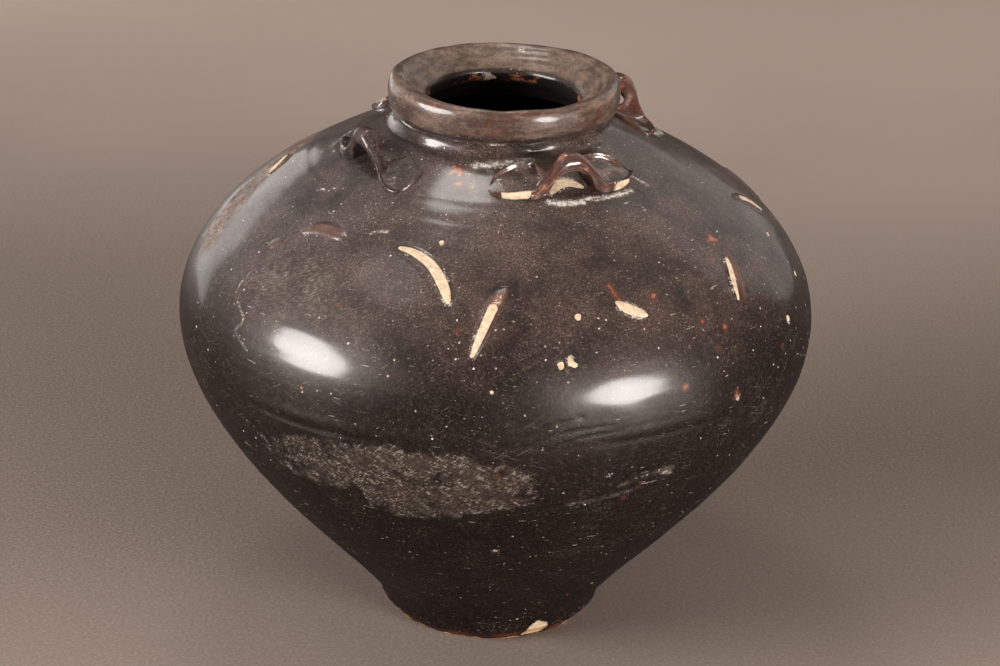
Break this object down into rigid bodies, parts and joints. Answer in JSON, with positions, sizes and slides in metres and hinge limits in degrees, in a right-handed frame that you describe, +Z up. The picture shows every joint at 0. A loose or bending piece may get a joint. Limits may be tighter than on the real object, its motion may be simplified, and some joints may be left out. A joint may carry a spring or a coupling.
{
  "type": "lugged storage jar",
  "caption": "Round glazed stoneware storage jar with a narrow foot, wide belly, dished rolled rim and loop lugs on the shoulder.",
  "frame": {"origin": "centre of the flat underside, on the ground", "axes": "+Z up through the mouth; -Y is the side with the front lug, seen in the picture"},
  "size_m": [0.43, 0.43, 0.3874],
  "materials": {
    "bare_clay": "matte",
    "dark_glaze": "gloss",
    "worn_glaze": "satin",
    "brown_glaze": "gloss"
  },
  "bodies": {
    "root": {"base_slab": "bare_clay", "lower_body": "dark_glaze", "upper_body": "dark_glaze", "neck_rim": "worn_glaze", "lug_front": "brown_glaze", "lug_right": "brown_glaze", "lug_back": "brown_glaze", "lug_left": "brown_glaze"}
  },
  "joints": []
}
